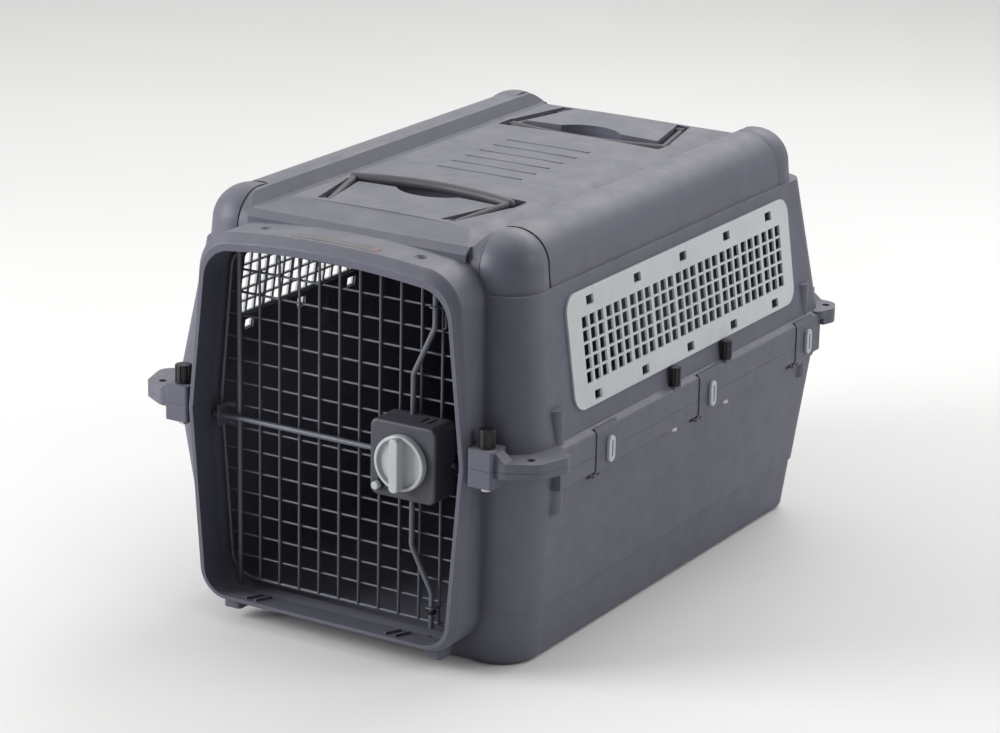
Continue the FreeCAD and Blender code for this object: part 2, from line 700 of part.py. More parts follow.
def handle_pocket(grow, depth):
    """U-shaped recess that one folded carry handle lies in (front handle)."""
    arm_half = SLOT_HALF + grow
    floor = POCKET_Z - depth
    top = PAD_Z + 10.0
    pieces = []
    for sign in (-1, 1):
        a = (sign * HANDLE_PIVOT_X, HANDLE_PIVOT_Y - 7.0 - grow)
        b = (sign * HANDLE_BAR_X, HANDLE_BAR_Y)
        corners = [(a[0] - arm_half, a[1]), (a[0] + arm_half, a[1]), (b[0] + arm_half, b[1]),
                   (b[0] - arm_half, b[1])]
        pieces.append(prism([(x, y, floor) for x, y in corners], Vector(0, 0, top - floor)))
    half = HANDLE_BAR_X + arm_half
    pieces.append(rounded_bar(-half, half, HANDLE_BAR_Y - 9.0 - grow, POCKET_FAR_Y + grow, floor, top,
                              5.0, "z"))
    scoop = cylinder((0, HANDLE_BAR_Y - SCOOP_DEPTH + SCOOP_R, floor), SCOOP_R + grow, top - floor, Z_AXIS)
    scoop = scoop.common(box(-80, 80, HANDLE_BAR_Y - 40, HANDLE_BAR_Y, floor - 1, top + 1))
    pieces.append(scoop)
    return fuse(pieces)


def rear_of(shape):
    """The same shape for the rear carry handle, turned end for end."""
    turned = shape.copy()
    turned.rotate(Vector(0, 0, 0), Z_AXIS, 180)
    turned.translate(Vector(0, FRONT_WALL_Y + REAR_WALL_Y, 0))
    return turned


def handle_bores():
    """Holes in the sides of the recess for the handle pivots."""
    return [cylinder((sign * HANDLE_PIVOT_X - 14, HANDLE_PIVOT_Y, HANDLE_Z), PIVOT_R, 28, X_AXIS)
            for sign in (-1, 1)]


def handle_recess(place):
    """Pan under the roof skin that a carry handle folds into; place sets it at its end of the roof."""
    pan = place(handle_pocket(WALL, 3.0)).common(roof_body(WALL))
    pan = pan.cut(place(handle_pocket(0.0, 0.0)))
    return pan.cut(place(Part.makeCompound(handle_bores())))


def roof_ribs():
    """Six low parallel ribs across the middle of the roof pad."""
    ribs = []
    for i in range(6):
        y = 324.5 + 29.5 * (i - 2.5)
        ribs.append(rounded_bar(-54, 54, y - 1.7, y + 1.7, PAD_Z - 2.0, PAD_Z + PAD_CROWN + 0.5, 1.6, "z"))
    return ribs


def visor_holes():
    """Two countersunk screw holes in the visor."""
    cuts = []
    for x in (-96.4, 96.4):
        bore = cylinder((x, -16.6, 420.0), 2.4, 24, Z_AXIS)
        sink = Part.makeCone(2.4, 8.9, 6.5, Vector(x, -16.6, 432.9), Z_AXIS)
        cuts.append(bore.fuse(sink))
    return cuts


def vent_windows():
    """Openings in the two side walls behind the vent panels."""
    span = hole_columns()
    y0 = span[0] - HOLE_W / 2.0 - 4.0
    y1 = span[-1] + HOLE_W / 2.0 + 4.0
    rows = hole_rows()
    low = panel_z(rows[0] - HOLE_H / 2.0 - 3.0)
    high = panel_z(rows[-1] + HOLE_H / 2.0 + 3.0)
    cuts = [rounded_bar(-260, 260, y0, y1, low, high, 6.0, "x")]
    for y, v in square_places():
        z = panel_z(v)
        cuts.append(box(-260, 260, y - SQUARE_W / 2.0 - 1, y + SQUARE_W / 2.0 + 1, z - SQUARE_H / 2.0 - 1,
                        z + SQUARE_H / 2.0 + 1))
    return cuts


def side_skirt():
    """Upper half of the side rail, hanging outside the rim of the tub."""
    corners = [(212, PARTING_Z + SEAM), (SKIRT_X, PARTING_Z + SEAM), (SKIRT_X, RAIL_SPLIT_Z + SEAM),
               (RAIL_X, RAIL_SPLIT_Z + SEAM), (RAIL_X, RAIL_TOP_Z), (228.0, RAIL_TOP_Z + 4.0),
               (227.4, RAIL_TOP_Z + 7.5), (212, RAIL_TOP_Z + 9.5)]
    profile = rounded_face([Vector(x, RAIL_Y0, z) for x, z in corners], [0, 0, 0, 0, 4.0, 1.0, 1.2, 0])
    pieces = [profile.extrude(Vector(0, RAIL_Y1 - RAIL_Y0, 0))] + posts(PARTING_Z + SEAM, POST_TOP_Z)
    pieces += [lobe(PARTING_Z + SEAM, LOBE_TOP_Z, rear) for rear in (False, True)]
    pieces += [block(PARTING_Z + SEAM, BLOCK_TOP_Z, rear) for rear in (False, True)]
    behind_face = box(200, RAIL_X - 0.6, 0, 600, 0, 600)
    for y in SIDE_NUT_YS:
        seat = cylinder((SIDE_NUT_X, y, RAIL_TOP_Z - 4), SIDE_POCKET_R, SIDE_NUT_Z - RAIL_TOP_Z + 4, Z_AXIS)
        pieces.append(seat.common(behind_face))
    half = CLIP_W / 2.0 + CLIP_GAP
    cuts = clip_seats(RAIL_SPLIT_Z - 1, RAIL_TOP_Z + 1) + latch_slots()
    for y in CLIP_YS:
        cuts.append(box(CLIP_HOOK_X - 0.5, RAIL_X + 5, y - half, y + half, RAIL_TOP_Z, RAIL_TOP_Z + 8))
    return fuse(pieces).cut(Part.makeCompound(cuts))


def nut_pockets(radius, low, high):
    """Round spaces over the rail where the side thumb nuts turn."""
    return [cylinder((x, y, low), radius, high - low, Z_AXIS) for x, y in side_places()]


def top_shell():
    skirt = side_skirt()
    above = box(-300, 300, -100, 100, PARTING_Z + SEAM, 600)
    surround = tunnel_block().common(above)
    outer = fuse([lid_solid(0.0, PARTING_Z + SEAM, LEDGE_Z), roof_solid()])
    inner = fuse([lid_solid(WALL, PARTING_Z - 5.0, LEDGE_Z - WALL), roof_body(WALL)])
    pocket_walls = nut_pockets(SIDE_POCKET_R + WALL, PARTING_Z, 271.0)
    shell = fuse([outer, surround, skirt, mirror_x(skirt)])
    shell = shell.cut(inner.cut(fuse([surround] + pocket_walls)))
    pocket = handle_pocket(0.0, 0.0)
    cuts = [pocket, rear_of(pocket), tunnel_void()] + visor_holes() + vent_windows()
    cuts += nut_pockets(SIDE_POCKET_R, SIDE_NUT_Z, PANEL_Z0)
    for cut in cuts:
        shell = shell.cut(cut)
    shell = shell.fuse(Part.makeCompound(roof_ribs()))
    return shell.cut(Part.makeCompound(keeper_holes() + bolt_holes())).removeSplitter()


# ================================================================ vent panels
def panel_z(v):
    """Height of a point at distance v up the leaning side wall from the parting plane."""
    return PARTING_Z + v / math.hypot(1.0, LID_DRAFT)


def wall_v(z):
    return (z - PARTING_Z) * math.hypot(1.0, LID_DRAFT)


def hole_columns():
    places = []
    for group in range(HOLE_GROUPS):
        for k in range(HOLES_PER_GROUP):
            i = group * HOLES_PER_GROUP + k
            places.append(HOLE_Y0 + i * HOLE_PITCH_Y + group * HOLE_GROUP_GAP)
    return places


def hole_rows():
    middle = (wall_v(PANEL_Z0) + wall_v(PANEL_Z1)) / 2.0 - 1.75
    return [middle + (i - (HOLE_ROWS - 1) / 2.0) * HOLE_PITCH_Z for i in range(HOLE_ROWS)]


def square_places():
    rows = (wall_v(PANEL_Z0) + 9.4, wall_v(PANEL_Z1) - 13.1)
    return [(SQUARE_Y0 + SQUARE_PITCH * i, v) for v in rows for i in range(SQUARE_COUNT)]


def slot_wire(u, v, width, height):
    x0 = u - width / 2.0
    x1 = u + width / 2.0
    y0 = v - height / 2.0
    y1 = v + height / 2.0
    corners = [Vector(x0, y0, 0), Vector(x1, y0, 0), Vector(x1, y1, 0), Vector(x0, y1, 0)]
    return rounded_wire(corners, [1.0] * 4)


def vent_panel():
    """Slotted cover plate, drawn flat and then laid on the leaning right-hand wall."""
    v0 = wall_v(PANEL_Z0)
    v1 = wall_v(PANEL_Z1)
    corners = [Vector(PANEL_Y0, v0, 0), Vector(PANEL_Y1, v0, 0), Vector(PANEL_Y1, v1, 0),
               Vector(PANEL_Y0, v1, 0)]
    wires = [rounded_wire(corners, [PANEL_R] * 4)]
    wires += [slot_wire(y, v, HOLE_W, HOLE_H) for y in hole_columns() for v in hole_rows()]
    wires += [slot_wire(y, v, SQUARE_W, SQUARE_H) for y, v in square_places()]
    plate = Part.Face(wires, "Part::FaceMakerCheese").extrude(Vector(0, 0, PANEL_T))
    length = math.hypot(1.0, LID_DRAFT)
    up = Vector(-LID_DRAFT / length, 0, 1.0 / length)
    normal = Vector(1.0 / length, 0, LID_DRAFT / length)
    lay = Matrix(0, up.x, normal.x, LID_HALF, 1, up.y, normal.y, 0, 0, up.z, normal.z, PARTING_Z, 0, 0, 0, 1)
    return plate.transformed(lay)


# ================================================================ wire door
def door_outline_path():
    corners = [Vector(-DOOR_LOW_HALF, 0, DOOR_LOW_Z), Vector(DOOR_LOW_HALF, 0, DOOR_LOW_Z),
               Vector(DOOR_MID_HALF, 0, PARTING_Z), Vector(DOOR_HIGH_HALF, 0, DOOR_TOP_Z),
               Vector(-DOOR_HIGH_HALF, 0, DOOR_TOP_Z), Vector(-DOOR_MID_HALF, 0, PARTING_Z)]
    return rounded_wire(corners, [DOOR_CORNER_R, DOOR_CORNER_R, 30.0, DOOR_CORNER_R, DOOR_CORNER_R, 30.0])


def door_outline_wire():
    path = door_outline_path()
    start = path.Edges[0].valueAt(path.Edges[0].FirstParameter)
    tangent = path.Edges[0].tangentAt(path.Edges[0].FirstParameter)
    profile = Part.Wire(Part.makeCircle(DOOR_R, start, tangent))
    return path.makePipeShell([profile], True, False)


def cross_heights():
    high = [CROSS_TOP_Z - CROSS_PITCH_HIGH * i for i in range(CROSS_HIGH)]
    low = [high[-1] - CROSS_PITCH_LOW * (i + 1) for i in range(CROSS_LOW)]
    return high + low


def inside_outline(shape):
    """Trim wires so that they end on the outline wire."""
    face = Part.Face(door_outline_path())
    face.translate(Vector(0, -20, 0))
    return shape.common(face.extrude(Vector(0, 40, 0))).cut(door_outline_wire())


def door_vertical_wires():
    half = (VERTICALS - 1) / 2.0
    wires = [cylinder(((i - half) * WIRE_PITCH, VERTICAL_Y, DOOR_LOW_Z - 5), VERTICAL_R, 400, Z_AXIS)
             for i in range(VERTICALS)]
    return [inside_outline(w) for w in wires]


def door_cross_wires():
    wires = [cylinder((-200, CROSS_Y, z), CROSS_R, 400, X_AXIS) for z in cross_heights()]
    return [inside_outline(w) for w in wires]


def hinge_rod():
    """Rod that the door turns on, from its socket in the sill to the one in the visor."""
    return cylinder((HINGE_X, HINGE_Y, SILL_Z - 9.0), HINGE_R, 420.0 - SILL_Z + 9.0, Z_AXIS)


def rod_guides():
    """Wire staples on the door that steady the bolts."""
    guides = []
    reach = ROD_R + ROD_FIT + 1.4
    for z in (385.0, 57.0):
        x0 = ROD_OUT_X - reach
        x1 = ROD_OUT_X + reach
        y0 = ROD_Y - reach
        guides.append(bent_rod([(x0, 2.0, z), (x0, y0, z), (x1, y0, z), (x1, 2.0, z)], 1.1, 3.0))
    hairpin = bent_rod([(114.9, -3.6, 392.0), (114.9, -3.6, 362.0), (119.3, -3.6, 362.0), (119.3, -3.6, 392.0)],
                       1.0, 2.0)
    guides.append(hairpin)
    return guides


def level_rod_bracket():
    """Small drilled plate with a guide ring that carries the long level bolt near the hinge."""
    plate = rounded_bar(-160.5, -158.5, ROD_Y - 6.0, CROSS_Y, LEVEL_ROD_Z - 12.0, LEVEL_ROD_Z + 12.0, 2.0, "x")
    foot = box(-160.5, -147.0, -0.2, 1.2, LEVEL_ROD_Z - 12.0, LEVEL_ROD_Z - 8.0)
    head = box(-160.5, -147.0, -0.2, 1.2, LEVEL_ROD_Z + 8.0, LEVEL_ROD_Z + 12.0)
    ring = cylinder((-164.0, ROD_Y, LEVEL_ROD_Z), 5.4, 4.5, X_AXIS)
    hole = cylinder((-170, ROD_Y, LEVEL_ROD_Z), ROD_R + ROD_FIT, 20, X_AXIS)
    return fuse([plate, foot, head, ring]).cut(hole)


# ================================================================ door lock
def lock_span(inset):
    return (LOCK_X - LOCK_W / 2.0 + inset, LOCK_X + LOCK_W / 2.0 - inset,
            LOCK_Z - LOCK_H / 2.0 + inset, LOCK_Z + LOCK_H / 2.0 - inset)


def lock_housing():
    x0, x1, z0, z1 = lock_span(0.0)
    case = rounded_bar(x0, x1, LOCK_FRONT_Y, LOCK_BACK_Y, z0, z1, LOCK_R, "y")
    case = case.makeFillet(3.0, edges_at(case, lambda e, m: abs(m.y - LOCK_FRONT_Y) < 0.01))
    x0, x1, z0, z1 = lock_span(LOCK_WALL)
    inside = rounded_bar(x0, x1, LOCK_FRONT_Y + LOCK_WALL, LOCK_BACK_Y + 1.0, z0, z1, LOCK_R - LOCK_WALL, "y")
    case = case.cut(inside)
    well = cylinder((BUTTON_X, LOCK_FRONT_Y + 1.0, BUTTON_Z), BUTTON_R + 2.4, 10.0, Y_AXIS)
    posts_at = [(x0 + 6.5, z1 - 6.5), (x1 - 6.5, z1 - 6.5), (x1 - 6.5, z0 + 6.5)]
    bosses = [cylinder((x, LOCK_FRONT_Y + 1.0, z), 4.0, LOCK_BACK_Y - LOCK_FRONT_Y - 1.0, Y_AXIS)
              for x, z in posts_at]
    case = fuse([case, well] + bosses)
    hole = ROD_R + ROD_FIT
    cuts = [cylinder((LOCK_X, LOCK_FRONT_Y - 1, LOCK_Z), SPINDLE_R + SPINDLE_FIT, 10, Y_AXIS),
            cylinder((ROD_IN_X, ROD_Y, LOCK_Z - 60), hole, 120, Z_AXIS),
            cylinder((LOCK_X - 60, ROD_Y, LEVEL_ROD_Z), hole, 30, X_AXIS),
            cylinder((LOCK_X + 30, ROD_Y, LEVEL_ROD_Z), hole, 30, X_AXIS),
            cylinder((BUTTON_X, LOCK_FRONT_Y - 1, BUTTON_Z), BUTTON_BORE_R, 9.0, Y_AXIS),
            cylinder((BUTTON_X, LOCK_FRONT_Y - 1, BUTTON_Z), 1.6, 20.0, Y_AXIS),
            rounded_bar(104.0, 107.2, -27.0, -10.0, LOCK_Z + 30, LOCK_Z + 60, 1.4, "z"),
            rounded_bar(113.0, 116.2, -27.0, -10.0, LOCK_Z + 30, LOCK_Z + 60, 1.4, "z")]
    cuts += [cylinder((x, LOCK_BACK_Y - 14.0, z), 1.3, 15.0, Y_AXIS) for x, z in posts_at]
    return case.cut(Part.makeCompound(cuts)).removeSplitter()


def lock_screw_places():
    x0, x1, z0, z1 = lock_span(LOCK_WALL)
    return [(x0 + 6.5, z1 - 6.5), (x1 - 6.5, z1 - 6.5), (x1 - 6.5, z0 + 6.5)]


def lock_back_plate():
    """Plate that closes the lock and carries the tail of the knob's spindle."""
    x0, x1, z0, z1 = lock_span(0.5)
    plate = rounded_bar(x0, x1, LOCK_BACK_Y, LOCK_BACK_Y + BACK_PLATE_T, z0, z1, LOCK_R, "y")
    boss = cylinder((LOCK_X, -14.0, LOCK_Z), 6.4, 14.0 + LOCK_BACK_Y + 0.5, Y_AXIS)
    cuts = [cylinder((LOCK_X, -15.0, LOCK_Z), TAIL_R + SPINDLE_FIT, 9.0, Y_AXIS)]
    cuts += [screw_shape(x, z, 0.1) for x, z in lock_screw_places()]
    return plate.fuse(boss).cut(Part.makeCompound(cuts))


def screw_shape(x, z, grow):
    """Countersunk screw whose head is flush with the back of the plate."""
    back = LOCK_BACK_Y + BACK_PLATE_T
    shank = cylinder((x, LOCK_BACK_Y - 12.0 - grow, z), 1.25 + grow, 14.0 + grow, Y_AXIS)
    head = Part.makeCone(1.25 + grow, 2.5 + grow, 1.3, Vector(x, back - 1.3, z), Y_AXIS)
    return shank.fuse(head)


def lock_screws():
    return [screw_shape(x, z, 0.0) for x, z in lock_screw_places()]


def involute_flank(base_r, radius):
    """Roll angle and polar offset of the involute where it reaches a radius."""
    roll = math.sqrt(max(0.0, (radius / base_r) ** 2 - 1.0))
    return roll - math.atan(roll)


def pinion(y0, y1):
    """Involute pinion round the lock's axis, with teeth on the four main directions."""
    pressure = math.radians(PRESSURE_DEG)
    base_r = PINION_PITCH_R * math.cos(pressure)
    root_r = PINION_PITCH_R - PINION_DEDENDUM
    tip_r = PINION_PITCH_R + PINION_ADDENDUM
    half_tooth = math.pi / (2.0 * PINION_TEETH) - BACKLASH / PINION_PITCH_R
    at_pitch = involute_flank(base_r, PINION_PITCH_R)
    steps = 5
    points = []
    for tooth in range(PINION_TEETH):
        middle = 2.0 * math.pi * tooth / PINION_TEETH
        radii = [base_r + (tip_r - base_r) * k / steps for k in range(steps + 1)]
        rising = [(root_r, -(half_tooth + at_pitch))] if root_r < base_r else []
        rising += [(r, -(half_tooth + at_pitch - involute_flank(base_r, r))) for r in radii]
        falling = [(r, -angle) for r, angle in reversed(rising)]
        for r, angle in rising + falling:
            points.append((LOCK_X + r * math.cos(middle + angle), y0, LOCK_Z + r * math.sin(middle + angle)))
    return prism(points, Vector(0, y1 - y0, 0))


def rack(length_before, length_after):
    """Straight rack: teeth point along +v, pitch line on v = 0, a tooth space at u = 0."""
    pitch = 2.0 * math.pi * PINION_PITCH_R / PINION_TEETH
    slope = math.tan(math.radians(PRESSURE_DEG))
    half = pitch / 4.0 - BACKLASH
    tip = half - RACK_ADDENDUM * slope
    root = half + RACK_DEDENDUM * slope
    first = math.ceil((-length_before + root) / pitch - 0.5)
    last = math.floor((length_after - root) / pitch - 0.5)
    points = [(-length_before, -RACK_DEDENDUM - RACK_BODY), (-length_before, -RACK_DEDENDUM)]
    for i in range(first, last + 1):
        centre = (i + 0.5) * pitch
        points += [(centre - root, -RACK_DEDENDUM), (centre - tip, RACK_ADDENDUM),
                   (centre + tip, RACK_ADDENDUM), (centre + root, -RACK_DEDENDUM)]
    points += [(length_after, -RACK_DEDENDUM), (length_after, -RACK_DEDENDUM - RACK_BODY)]
    return points


def placed_rack(side, before, after, y0):
    """Rack on one side of the pinion: side is 'left', 'right', 'top' or 'bottom'."""
    r = PINION_PITCH_R
    place = {"left": lambda u, v: (LOCK_X - r + v, LOCK_Z + u),
             "right": lambda u, v: (LOCK_X + r - v, LOCK_Z + u),
             "top": lambda u, v: (LOCK_X + u, LOCK_Z + r - v),
             "bottom": lambda u, v: (LOCK_X + u, LOCK_Z - r + v)}[side]
    points = [place(u, v) for u, v in rack(before, after)]
    return prism([(x, y0, z) for x, z in points], Vector(0, RACK_T, 0))


RACK_BACK = RACK_DEDENDUM + RACK_BODY


def upper_bolt():
    """Upright bolt into the visor: rack on the left of the pinion, then the bent rod."""
    left = LOCK_X - PINION_PITCH_R - RACK_BACK
    gear = placed_rack("left", 20.0, 23.0, UPRIGHT_RACK_Y)
    link = box(left, ROD_IN_X + ROD_R, UPRIGHT_RACK_Y, ROD_Y + ROD_R, LOCK_Z + 17.0, LOCK_Z + 23.0)
    rod = bent_rod([(ROD_IN_X, ROD_Y, LOCK_Z + 18.0), (ROD_IN_X, ROD_Y, 309.0), (ROD_OUT_X, ROD_Y, 363.0),
                    (ROD_OUT_X, ROD_Y, 416.0)], ROD_R, 14.0)
    return fuse([gear, link, rod])


def lower_bolt():
    """Upright bolt into the sill: its link passes under the pinion to the rack on the right."""
    right = LOCK_X + PINION_PITCH_R + RACK_BACK
    gear = placed_rack("right", 23.0, 20.0, UPRIGHT_RACK_Y)
    link = box(ROD_IN_X - ROD_R, right, ROD_Y - ROD_R, ROD_Y + ROD_R, LOCK_Z - 23.0, LOCK_Z - 17.0)
    tie = box(right - RACK_BODY, right, UPRIGHT_RACK_Y, ROD_Y, LOCK_Z - 23.0, LOCK_Z - 17.0)
    rod = bent_rod([(ROD_IN_X, ROD_Y, LOCK_Z - 18.0), (ROD_IN_X, ROD_Y, 121.0), (ROD_OUT_X, ROD_Y, 73.0),
                    (ROD_OUT_X, ROD_Y, 33.6)], ROD_R, 14.0)
    return fuse([gear, link, tie, rod])


def left_bolt():
    """Long level bolt towards the hinge side, with its rack under the pinion."""
    low = LOCK_Z - PINION_PITCH_R - RACK_BACK
    gear = placed_rack("bottom", 21.4, 20.4, LEVEL_RACK_Y)
    link = box(LOCK_X - 21.4, LOCK_X - 17.0, LEVEL_RACK_Y, ROD_Y + ROD_R, low, LEVEL_ROD_Z + ROD_R)
    rod = cylinder((-168.8, ROD_Y, LEVEL_ROD_Z), ROD_R, 168.8 + LOCK_X - 19.0, X_AXIS)
    return fuse([gear, link, rod])


def right_bolt():
    """Short level bolt on the opening side, with its rack over the pinion."""
    high = LOCK_Z + PINION_PITCH_R + RACK_BACK
    gear = placed_rack("top", 20.4, 21.5, LEVEL_RACK_Y)
    link = box(LOCK_X + 17.5, LOCK_X + 21.5, LEVEL_RACK_Y, ROD_Y + ROD_R, LEVEL_ROD_Z - ROD_R, high)
    rod = cylinder((LOCK_X + 19.0, ROD_Y, LEVEL_ROD_Z), ROD_R, 165.5 - LOCK_X - 19.0, X_AXIS)
    return fuse([gear, link, rod])


def rod_collar(centre, axis):
    """Rubber ring pushed onto a bolt."""
    ring = tube(centre, 5.4, ROD_R, 3.4, axis)
    return ring.makeFillet(1.0, edges_at(ring, lambda e, m: e.Length > 30.0))


def lock_knob():
    """Round knob with a dished face and a straight grip bar, on the pinion's spindle."""
    disc = cylinder((LOCK_X, KNOB_RIM_Y, LOCK_Z), KNOB_R, KNOB_REST_Y - KNOB_RIM_Y, Y_AXIS)
    disc = disc.makeFillet(1.6, edges_at(disc, lambda e, m: abs(m.y - KNOB_RIM_Y) < 0.01))
    dish = cylinder((LOCK_X, KNOB_RIM_Y - 1.0, LOCK_Z), KNOB_R - KNOB_RIM_W, 5.0, Y_AXIS)
    bar = rounded_bar(LOCK_X - GRIP_W / 2.0, LOCK_X + GRIP_W / 2.0, KNOB_GRIP_Y, KNOB_REST_Y - 2.0,
                      LOCK_Z - KNOB_R + 1.0, LOCK_Z + KNOB_R - 1.0, 4.5, "y")
    bar = bar.makeFillet(1.8, edges_at(bar, lambda e, m: abs(m.y - KNOB_GRIP_Y) < 0.01))
    spindle = cylinder((LOCK_X, KNOB_REST_Y - 0.5, LOCK_Z), SPINDLE_R, 5.0, Y_AXIS)
    return fuse([disc.cut(dish), bar, spindle])


def lock_pinion():
    """Pinion on the inner end of the spindle, with a tail that runs in the back plate."""
    front = KNOB_REST_Y + 4.5
    gear = pinion(LEVEL_RACK_Y - 1.5, UPRIGHT_RACK_Y + RACK_T + 1.0)
    neck = cylinder((LOCK_X, front, LOCK_Z), SPINDLE_R - 0.6, LEVEL_RACK_Y - front, Y_AXIS)
    tail = cylinder((LOCK_X, UPRIGHT_RACK_Y + RACK_T, LOCK_Z), TAIL_R, 9.0, Y_AXIS)
    return fuse([neck, gear, tail])


def lock_button():
    """Plunger that has to be pressed before the knob turns."""
    cap = cylinder((BUTTON_X, BUTTON_FRONT_Y, BUTTON_Z), BUTTON_R, 7.0, Y_AXIS)
    cap = cap.makeFillet(1.2, edges_at(cap, lambda e, m: abs(m.y - BUTTON_FRONT_Y) < 0.01))
    stem = cylinder((BUTTON_X, BUTTON_FRONT_Y + 6.0, BUTTON_Z), 1.4, 16.5, Y_AXIS)
    head = cylinder((BUTTON_X, BUTTON_FRONT_Y + 20.6, BUTTON_Z), 2.4, 1.9, Y_AXIS)
    return fuse([cap, stem, head])


def button_collar():
    """Ring round the plunger on the face of the lock."""
    ring = tube((BUTTON_X, LOCK_FRONT_Y - 3.2, BUTTON_Z), 6.3, BUTTON_BORE_R, 3.2, Y_AXIS)
    rim = edges_at(ring, lambda e, m: abs(m.y - LOCK_FRONT_Y + 3.2) < 0.01 and e.Length > 35)
    return ring.makeFillet(0.9, rim)


def button_spring():
    """Compression spring between the plunger's cap and the bottom of its well."""
    wire_r = 0.35
    coil_r = 2.9
    start = BUTTON_FRONT_Y + 7.0 + wire_r + 0.05
    end = LOCK_FRONT_Y + 8.0 - wire_r - 0.05
    turns = 4.0
    helix = Part.makeHelix((end - start) / turns, end - start, coil_r)
    helix.rotate(Vector(0, 0, 0), X_AXIS, -90)
    helix.translate(Vector(BUTTON_X, start, BUTTON_Z))
    first = helix.Edges[0]
    profile = Part.Wire(Part.makeCircle(wire_r, first.valueAt(first.FirstParameter),
                                        first.tangentAt(first.FirstParameter)))
    return Part.Wire(helix.Edges).makePipeShell([profile], True, True)


# ================================================================ clips, fasteners, handles
def side_clip(y):
    """Clamp plate that holds lid and tub together; it swings out on a pin under the rail."""
    y0 = y - CLIP_W / 2.0
    inner = CLIP_FACE_X - CLIP_T
    profile = [(CLIP_PIN_X + 3.4, CLIP_LOW_Z + 1.2), (CLIP_FACE_X - 1.5, CLIP_LOW_Z),
               (CLIP_FACE_X, CLIP_LOW_Z + 4), (CLIP_FACE_X, CLIP_TOP_Z - 5), (CLIP_FACE_X - 3.5, CLIP_TOP_Z),
               (CLIP_HOOK_X, CLIP_TOP_Z), (CLIP_HOOK_X, RAIL_TOP_Z + 0.5), (inner, RAIL_TOP_Z + 0.5), (inner, CLIP_LOW_Z + 6)]
    plate = prism([(x, y0, z) for x, z in profile], Vector(0, CLIP_W, 0))
    knuckle = cylinder((CLIP_PIN_X, y - 14.0, CLIP_PIN_Z), 3.2, 28.0, Y_AXIS)
    outline = [(CLIP_PIN_X - 1.0, CLIP_PIN_Z - 3.1), (CLIP_FACE_X - 1.5, CLIP_LOW_Z - 1.5),
               (CLIP_FACE_X - 1.5, CLIP_LOW_Z + 1.2), (CLIP_PIN_X + 2.2, CLIP_LOW_Z + 1.2)]
    arm = prism([(x, y - 14.0, z) for x, z in outline], Vector(0, 28, 0))
    clip = fuse([plate, knuckle, arm])
    bore = cylinder((CLIP_PIN_X, y - 20.0, CLIP_PIN_Z), CLIP_PIN_R + 0.08, 40.0, Y_AXIS)
    turn = cylinder((inner - 6.0, y + LATCH_DY, LATCH_Z), 4.06, 14.0, X_AXIS)
    return clip.cut(bore).cut(turn)


def clip_pin(y):
    return cylinder((CLIP_PIN_X, y - 20.4, CLIP_PIN_Z), CLIP_PIN_R, 40.8, Y_AXIS)


def clip_latch(y):
    """Oval quarter-turn lock with a coin slot, and the cam on its inner end."""
    mid = y + LATCH_DY
    x0 = CLIP_FACE_X + 0.3
    oval = rounded_bar(x0, x0 + 3.4, mid - LATCH_W / 2.0, mid + LATCH_W / 2.0, LATCH_Z - LATCH_H / 2.0,
                       LATCH_Z + LATCH_H / 2.0, LATCH_W / 2.0 - 0.05, "x")
    oval = oval.makeFillet(1.0, edges_at(oval, lambda e, m: abs(m.x - x0 - 3.4) < 0.01))
    slot = rounded_bar(x0 + 1.6, x0 + 5, mid - 1.5, mid + 1.5, LATCH_Z - 9.5, LATCH_Z + 9.5, 1.4, "x")
    neck = cylinder((231.0, mid, LATCH_Z), 4.0, x0 + 0.5 - 231.0, X_AXIS)
    cam = box(230.0, 232.0, mid - 3.0, mid + 3.0, LATCH_Z - 9.0, LATCH_Z + 9.0)
    return fuse([oval.cut(slot), neck, cam])


def right_and_left(make, y, side):
    shape = make(y)
    return mirror_x(shape) if side == "left" else shape


def fluted_nut(x, y, z, radius, height):
    """Thumb nut with round flutes and a domed top."""
    body = cylinder((x, y, z), radius, height, Z_AXIS)
    body = body.makeFillet(1.2, edges_at(body, lambda e, m: abs(m.z - z - height) < 0.01))
    cuts = []
    for i in range(FLUTES):
        angle = 2.0 * math.pi * (i + 0.5) / FLUTES
        place = (x + radius * 1.02 * math.cos(angle), y + radius * 1.02 * math.sin(angle), z + 2.2)
        cuts.append(cylinder(place, radius * 0.2, height, Z_AXIS))
    body = body.cut(Part.makeCompound(cuts))
    return body


def corner_bolt(x, y):
    """Hexagon bolt through one corner block, its head below."""
    z0 = BLOCK_LOW_Z
    washer = tube((x, y, z0 - 1.4), 7.4, BOLT_R, 1.4, Z_AXIS)
    head = Part.Face(Part.makePolygon([Vector(x + 5.6 * math.cos(math.pi * k / 3.0),
                                              y + 5.6 * math.sin(math.pi * k / 3.0), z0 - 6.0)
                                       for k in range(7)])).extrude(Vector(0, 0, 4.6))
    shank = cylinder((x, y, z0 - 2.0), BOLT_R, BLOCK_TOP_Z + 12.0 - z0 + 2.0, Z_AXIS)
    return fuse([washer, head, shank])


def corner_places():
    return [(sx * BLOCK_X, y) for sx in (-1, 1) for y in (BLOCK_Y, BLOCK_REAR_Y)]


def corner_thumb_nuts():
    nuts = [fluted_nut(x, y, BLOCK_TOP_Z, NUT_R, NUT_H) for x, y in corner_places()]
    return [nut.cut(cylinder((x, y, BLOCK_TOP_Z - 1), BOLT_R, 13.2, Z_AXIS))
            for nut, (x, y) in zip(nuts, corner_places())]


def corner_bolts():
    return [corner_bolt(x, y) for x, y in corner_places()]


def side_places():
    return [(sx * SIDE_NUT_X, y) for sx in (-1, 1) for y in SIDE_NUT_YS]


